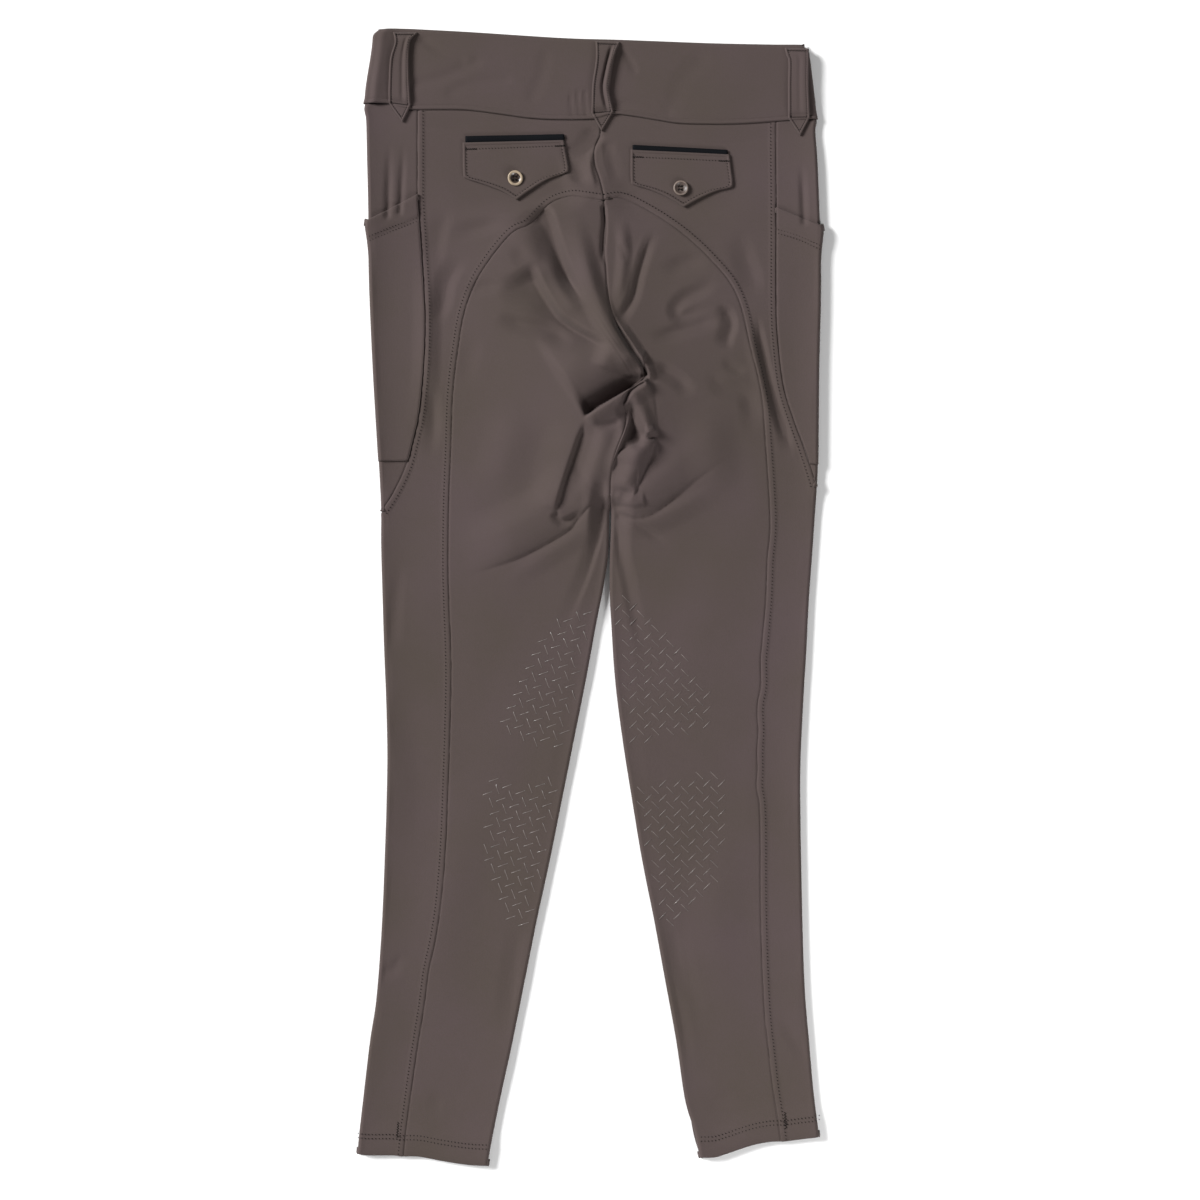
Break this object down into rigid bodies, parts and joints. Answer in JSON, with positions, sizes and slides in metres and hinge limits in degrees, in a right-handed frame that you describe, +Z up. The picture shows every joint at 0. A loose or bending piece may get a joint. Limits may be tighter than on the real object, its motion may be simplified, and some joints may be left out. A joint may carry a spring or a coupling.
{
  "type": "riding breeches, laid flat with the seat up",
  "caption": "Fitted riding breeches in taupe stretch cloth, laid flat showing the back: arched full seat, two flap pockets with buttons, belt loops and slanted side pockets.",
  "frame": {"origin": "middle of the garment's box, on the surface it lies on", "axes": "+Y towards the waist, +X towards the wearer's right side, +Z up out of the seat side"},
  "size_m": [0.3912, 0.9526, 0.0248],
  "materials": {
    "cloth": "matt taupe stretch softshell",
    "welt": "black satin tape",
    "button": "polished horn look"
  },
  "bodies": {
    "root": {"waistband": "cloth", "belt_loop_left": "cloth", "belt_loop_centre": "cloth", "belt_loop_right": "cloth", "side_panel_left": "cloth", "side_panel_right": "cloth", "side_pocket_left": "cloth", "side_pocket_right": "cloth", "hip_leg_panel_left": "cloth", "hip_leg_panel_right": "cloth", "seat_leg_panel_left": "cloth", "seat_leg_panel_right": "cloth", "front_panel_left": "cloth", "front_panel_right": "cloth", "back_pocket_welt_left": "welt", "back_pocket_welt_right": "welt", "back_pocket_flap_left": "cloth", "back_pocket_flap_right": "cloth", "pocket_button_left": "button", "pocket_button_right": "button"}
  },
  "joints": []
}
